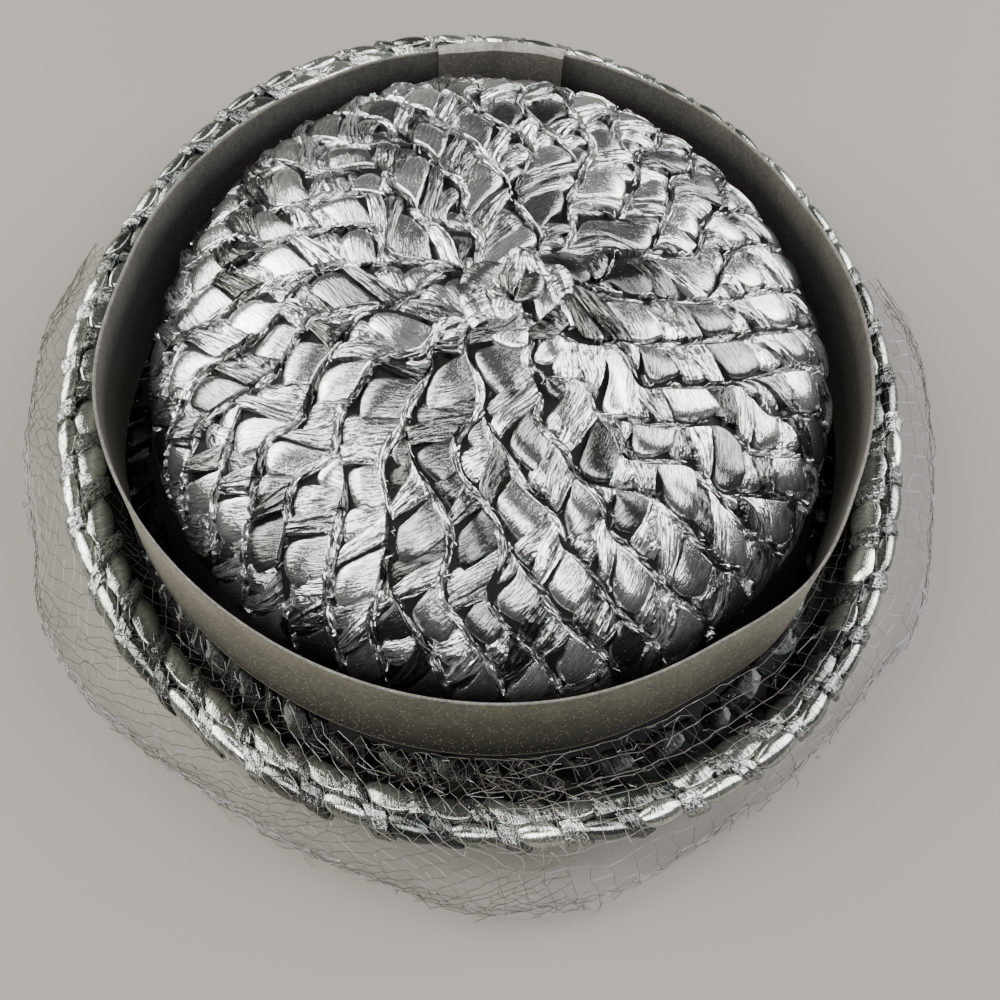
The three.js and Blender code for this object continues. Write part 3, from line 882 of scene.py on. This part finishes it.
# Each row: from and to in mm outwards from the roll's top, shift as a share of the pitch, height,
# and rim or valley, where valley rows get the darker straw, a painted shade
brim_rows = [(-1.2, 6.8, 0.5, 1.3, "rim"), (-9.0, -0.4, 0.0, 1.9, "rim"),
             (-16.0, -7.4, 0.55, 1.2, "valley"), (-23.5, -15.0, 0.1, 0.6, "valley"),
             (6.2, 9.9, 0.1, 0.5, "valley")]
lens_look = dict(flat_look, steps=(14, 12), square=2.4, edge=1.9, peak=0.5, drop=0.9, slant=3.0,
                 base=0.0, ends=0.05, lean=0.3, crease=1.2, round=0.6, lens=True)
cross_look = dict(strand_look, slant=1.0, fan=0.1, height=1.2, base=0.3, pleats=0.14, folds=1.6)
brim_weaves = {"rim": (Weave(), Weave()), "valley": (Weave(), Weave())}
for low, high, shift, height, place_name in brim_rows:
    def on_brim(along, across, lift, skin=rim_skin if place_name == "rim" else brim_skin):
        """A point on the brim: along counts mm round the rim, across mm from the roll's top."""
        return skin.at(along / rim_mm, across, lift)

    smooth, crossing = brim_weaves[place_name]
    by_the_band = high < -14
    # In the valley the crossings' tints are cut to a quarter of their share, a painted shade
    crossed = 0.5 if place_name == "valley" else 1.0
    breadth = high - low
    film_look = dict(cross_look, height=height * 0.7 * crossed,
                     pleats=cross_look["pleats"] * crossed)
    for cell in range(rim_cells):
        start = (cell + shift + chance.uniform(-0.07, 0.07)) * pitch
        long = pitch * chance.uniform(0.74, 0.82)
        inner = low + chance.uniform(-0.7, 0.7)
        outer = high + chance.uniform(-0.7, 0.7)
        # Cells by the band get only the darkest tints, a painted shade for the band's shadow
        shade = chance.uniform(0, 0.12 if by_the_band else 1)
        lay_cell(smooth, on_brim, start, start + long, inner, outer, breadth / 8,
                 dict(lens_look, height=height), shade, flip=True)
        lay_cell(crossing, on_brim, start + long - 1.2, start + pitch + 1.2, low, high,
                 breadth / 2, film_look, shade * crossed ** 2, flip=True)
brim_flat = brim_weaves["rim"][0].make("rim_flat_strips", straw_rim)
brim_pleated = brim_weaves["rim"][1].make("rim_pleated_strips", straw_cross, flat=True)
valley_flat = brim_weaves["valley"][0].make("valley_flat_strips", straw_valley)
valley_pleated = brim_weaves["valley"][1].make("valley_pleated_strips", straw_valley)

# %% [markdown]
# ## The ribbon band
# The band is a velvet ribbon, 32 mm high, that stands on the brim a few millimetres clear of
# the crown. Its woven edge is a pale line along the top, and its inner side lies in the dark.
# The section runs up the inner side and down the outer one.

# %% Ribbon band
band_foot, band_high, selvedge_from = 2.75, 31.75, 31.1
band_turns = np.arange(0, 360, 1.25)
band_section = [(-0.6, 0.0), (-0.55, 0.9), (-0.6, 8), (-0.6, 16), (-0.5, 24), (-0.45, 30.8),
                (-0.52, 31.2), (-0.48, 31.6), (-0.3, band_high), (0.0, band_high), (0.18, 31.6),
                (0.22, 31.2), (0.12, 30.8), (0.1, 24), (0.1, 16), (0.2, 8), (0.2, 0.9), (0.3, 0.0)]
band_loops = []
for out, up in band_section:
    flat = oval_point(band_oval, band_turns, out - 0.5)
    band_loops.append(np.concatenate([flat, np.full((len(band_turns), 1), band_foot + up)], 1))
band = ring_body("ribbon_band", np.array(band_loops).transpose(1, 0, 2), ribbon_velvet)
band.data.materials.append(ribbon_selvedge)
band.data.materials.append(ribbon_inside)
band_middle = Vector((*hat_shift, 0)) * MM
for face in band.data.polygons:
    if face.center.z > (band_foot + selvedge_from) * MM:
        face.material_index = 1
    # Faces towards the crown get the inside velvet, a painted shade for the gap by the crown
    elif face.normal.dot(face.center - band_middle) < 0:
        face.material_index = 2

# A piece of the ribbon, folded over the band's top edge at the back, covers its join
join_turn, join_half, near = 82.0, 10.72, 1.15
far = near + 0.95
join_low, join_high, join_inside = 4.8, 34.95, 11.6
join_section = [(near + 0.9, join_low), (far, 20), (far, 33.6), (near + 0.7, 34.5),
                (near, join_high), (0, join_high + 0.15), (-near, join_high),
                (-near - 0.7, 34.5), (-far, 33.6), (-far, 20), (-near - 0.9, join_inside),
                (-near, join_inside), (-near, 20), (-near, 33.6), (-near * 0.9, 34.3),
                (near * 0.9, 34.3), (near, 33.6), (near, 20), (near, join_low)]
join_loops = []
join_turns = np.linspace(join_turn - join_half, join_turn + join_half, 27)
for out, up in join_section:
    ripple = 0.12 * np.sin(join_turns * 0.8 + up * 0.2) * np.sign(out)
    flat = oval_point(band_oval, join_turns, out - 0.85 + ripple)
    join_loops.append(np.concatenate([flat, np.full((len(join_turns), 1), up)], 1))
join_loops = np.array(join_loops).transpose(1, 0, 2)[:, ::-1]
join_cover = ring_body("ribbon_join", join_loops, ribbon_fold, closed=False)
join_cover.data.materials.append(ribbon_ledge)
join_cover.data.materials.append(ribbon_velvet)
ledge_from = 34.2
# Faces towards the crown keep the darker fold velvet, a painted shade
for face in join_cover.data.polygons:
    if face.center.z > ledge_from * MM and face.normal.z > 0.3:
        face.material_index = 1
    elif face.normal.dot(face.center - band_middle) > 0:
        face.material_index = 2
print("ribbon band", len(band.data.polygons) * 2, "triangles")

# %% [markdown]
# ## The veil
# Hat netting is thin nylon thread, knotted into diamonds 4 to 5 mm wide. Here it runs from
# the band's foot over the rim to a frayed hem, round the front and both sides. Each thread
# between two knots is bent once, by chance, because a net that is worn hangs slack.

# %% Veil
veil_left, veil_right = -202, 9
# In each direction: how many mm the hem reaches beyond the rim
veil_hem = [(-202, 9.1), (-196, 9.1), (-190, 10.4), (-180, 10.4), (-170, 10.6), (-163, 10.6),
            (-156, 12.9), (-150, 13.9), (-145, 12.6), (-139, 9.4), (-132, 8.1), (-124, 7.4),
            (-115, 7.6), (-106, 8.4), (-98, 12.4), (-92, 11.6), (-84, 10.4), (-76, 7.1),
            (-68, 3.8), (-60, 4.2), (-54, 4.1), (-48, 4.9), (-43, 6.9), (-38, 11.0),
            (-32, 11.6), (-22, 11.4), (-12, 11.4), (-4, 12.8), (2, 12.6), (9, 9.4)]
hem_high, foot_high, top_high = 1.2, 3.6, 15.2
rim_centre = np.array([0.85, 6.6])


def veil_points(turn, down, lift):
    """A place on the veil: down runs 0 at the band's foot, 0.5 on the rim, 1 at the hem."""
    turn, down, lift = np.broadcast_arrays(np.asarray(turn, float), down, lift)
    foot = oval_point(band_oval, turn, 1.0)
    rim = oval_point(rim_oval, turn, -roll_core)
    reach = np.interp(turn, *zip(*veil_hem))
    hem = oval_point(rim_oval, turn, reach)
    inner = np.clip(down / 0.5, 0, 1)
    outer = np.clip((down - 0.5) / 0.5, 0, 1)
    arc = outer * math.pi / 2
    flat = foot + (rim - foot) * inner[..., None]
    flat = flat + (hem - flat) * (np.sin(arc) ** 0.8)[..., None]
    climb = np.interp(inner, [0, 0.16, 0.74, 1], [0, 0.12, 0.92, 1])
    high = foot_high + (top_high - foot_high) * climb
    z = np.where(outer > 0, hem_high + (top_high - hem_high) * np.cos(arc), high)
    away = flat - rim_centre
    away /= np.linalg.norm(away, axis=-1, keepdims=True)
    outside = smooth_step(0.4, 0.7, down)
    flat = flat + away * (lift * outside)[..., None]
    return np.concatenate([flat, (z + lift * (1 - outside))[..., None]], -1)


def thread_mesh(name, start, end, radius, material):
    """Three-sided threads between pairs of points, in mm."""
    along = end - start
    along /= np.maximum(np.linalg.norm(along, axis=1, keepdims=True), 1e-9)
    side = np.cross(along, [0.13, 0.31, 0.94])
    side /= np.linalg.norm(side, axis=1, keepdims=True)
    other = np.cross(along, side)
    points, faces = [], []
    for k in range(3):
        angle = k * 2 * math.pi / 3
        offset = (side * math.cos(angle) + other * math.sin(angle)) * radius
        points += [start + offset, end + offset]
    count = len(start)
    points = np.concatenate(points)
    base = np.arange(count)
    for k in range(3):
        a, b = 2 * k * count + base, (2 * k + 1) * count + base
        c, d = (2 * ((k + 1) % 3) + 1) * count + base, 2 * ((k + 1) % 3) * count + base
        faces.append(np.stack([a, d, c, b], -1))
    metres = float(np.linalg.norm(end - start, axis=1).sum()) * MM
    print(name, count * 6, "triangles,", round(metres, 1), "m")
    return make_piece(name, points, np.concatenate(faces).tolist(), material, smooth=False)


thread_ends = []


def add_thread(places):
    """A thread through a row of places, as its short straight lengths."""
    thread_ends.append(np.stack([places[:-1], places[1:]], 1))


def add_net(turns, downs, squares):
    """Knots in a grid of directions and depths, joined by slack threads."""
    columns, rows = turns.shape
    lift = 0.5 + 0.7 * np.sin(turns * 0.35) * downs + chance.normal(0, 0.22, turns.shape)
    knots = veil_points(turns, np.clip(downs, 0, 1.02), np.maximum(lift, -0.1))
    for i in range(columns):
        for j in range(rows - 1):
            beside = (i + 1, j) if squares else (i + 1 if j % 2 else i - 1, j + 1)
            for k, m in ((i, j + 1), beside):
                if 0 <= k < columns and m < rows and chance.random() > 0.015:
                    middle = (knots[i, j] + knots[k, m]) / 2 + chance.normal(0, 0.16, 3)
                    add_thread(np.array([knots[i, j], middle, knots[k, m]]))


# Left of the front fold the net hangs in diamonds pulled out sideways
left_columns, left_rows, left_span = 50, 24, 116
i, j = np.meshgrid(np.arange(left_columns), np.arange(left_rows), indexing="ij")
left_turns = veil_left + (i + 0.5 * (j % 2)) / left_columns * left_span
left_turns = left_turns + chance.normal(0, 0.3, i.shape) + 1.3 * np.sin(i * 0.5 + j * 0.35)
left_downs = np.interp(j, [0, 7, 23], [0, 0.5, 1]) + chance.normal(0, 0.007, i.shape)
add_net(left_turns, left_downs + 0.012 * np.sin(i * 0.7), False)
# Right of it the same net lies in squares
right_columns, right_rows, right_from, right_span = 45, 11, -96, 105
i, j = np.meshgrid(np.arange(right_columns), np.arange(right_rows), indexing="ij")
right_downs = np.interp(j, [0, 4, 10], [0, 0.5, 1.0]) + chance.normal(0, 0.008, i.shape)
right_downs = right_downs + 0.01 * np.sin(i * 0.8)
right_turns = right_from + i / (right_columns - 1) * right_span
right_turns = right_turns + chance.normal(0, 0.25, i.shape) + 3.2 * (right_downs - 0.5)
add_net(right_turns, right_downs, True)
# The hem: the net's last threads, bunched and frayed
hem_turns = np.arange(veil_left, veil_right + 0.2, 0.7)
for number in range(5):
    wander = np.convolve(chance.normal(0, 0.05, len(hem_turns)), np.ones(4) / 4, "same")
    waves = 0.012 * np.sin(hem_turns * (0.6 + 0.17 * number))
    hem_downs = np.clip(0.965 - 0.022 * number + wander + waves, 0, 1.0)
    add_thread(veil_points(hem_turns, hem_downs, 0.3 + chance.normal(0, 0.2, len(hem_turns))))
# Slack threads bunched at the front
for _ in range(90):
    turn, down = chance.normal(-92, 22), chance.uniform(0.03, 0.42)
    if veil_left < turn < veil_right:
        steps = np.cumsum(chance.normal(0, 1, (6, 2)) + chance.normal(0, 0.8, 2), 0)
        turns = np.clip(turn + steps[:, 0] * 0.8, veil_left, veil_right)
        downs = np.clip(down + steps[:, 1] * 0.02, 0, 0.6)
        add_thread(veil_points(turns, downs, 0.5 + chance.normal(0, 0.3, 6)))
# Loose ends at the hem
for _ in range(26):
    turn = chance.uniform(-200, 7)
    steps = np.cumsum(chance.normal(0, 0.5, (4, 2)) + [chance.normal(0, 0.6), 0.9], 0)
    turns = np.clip(turn + steps[:, 0] * 0.6, veil_left, veil_right)
    downs = np.clip(0.93 + steps[:, 1] * 0.03, 0, 1.0)
    add_thread(veil_points(turns, downs, 0.6 + chance.normal(0, 0.3, 4) + steps[:, 1] * 0.3))
threads, thread_radius = np.concatenate(thread_ends), 0.08
veil = thread_mesh("net_veil", threads[:, 0], threads[:, 1], thread_radius, net_thread)

# %% [markdown]
# ## Hand the pieces to the frame
# Every new piece rides with the one body and stands for the solid it covers.

# %% Finish
for piece in (crown_flat, crown_pleated, crown_margins, crown_strands, crown_ground):
    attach(piece, "root")
    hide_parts("crown")
for piece in (brim_flat, brim_pleated, valley_flat, valley_pleated, brim_ground):
    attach(piece, "root")
    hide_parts("brim")
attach(band, "root")
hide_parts("hat_band")
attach(join_cover, "root")
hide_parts("band_join")
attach(veil, "root")
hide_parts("veil")
band_path = oval_point(band_oval, np.append(band_turns, 0.0))
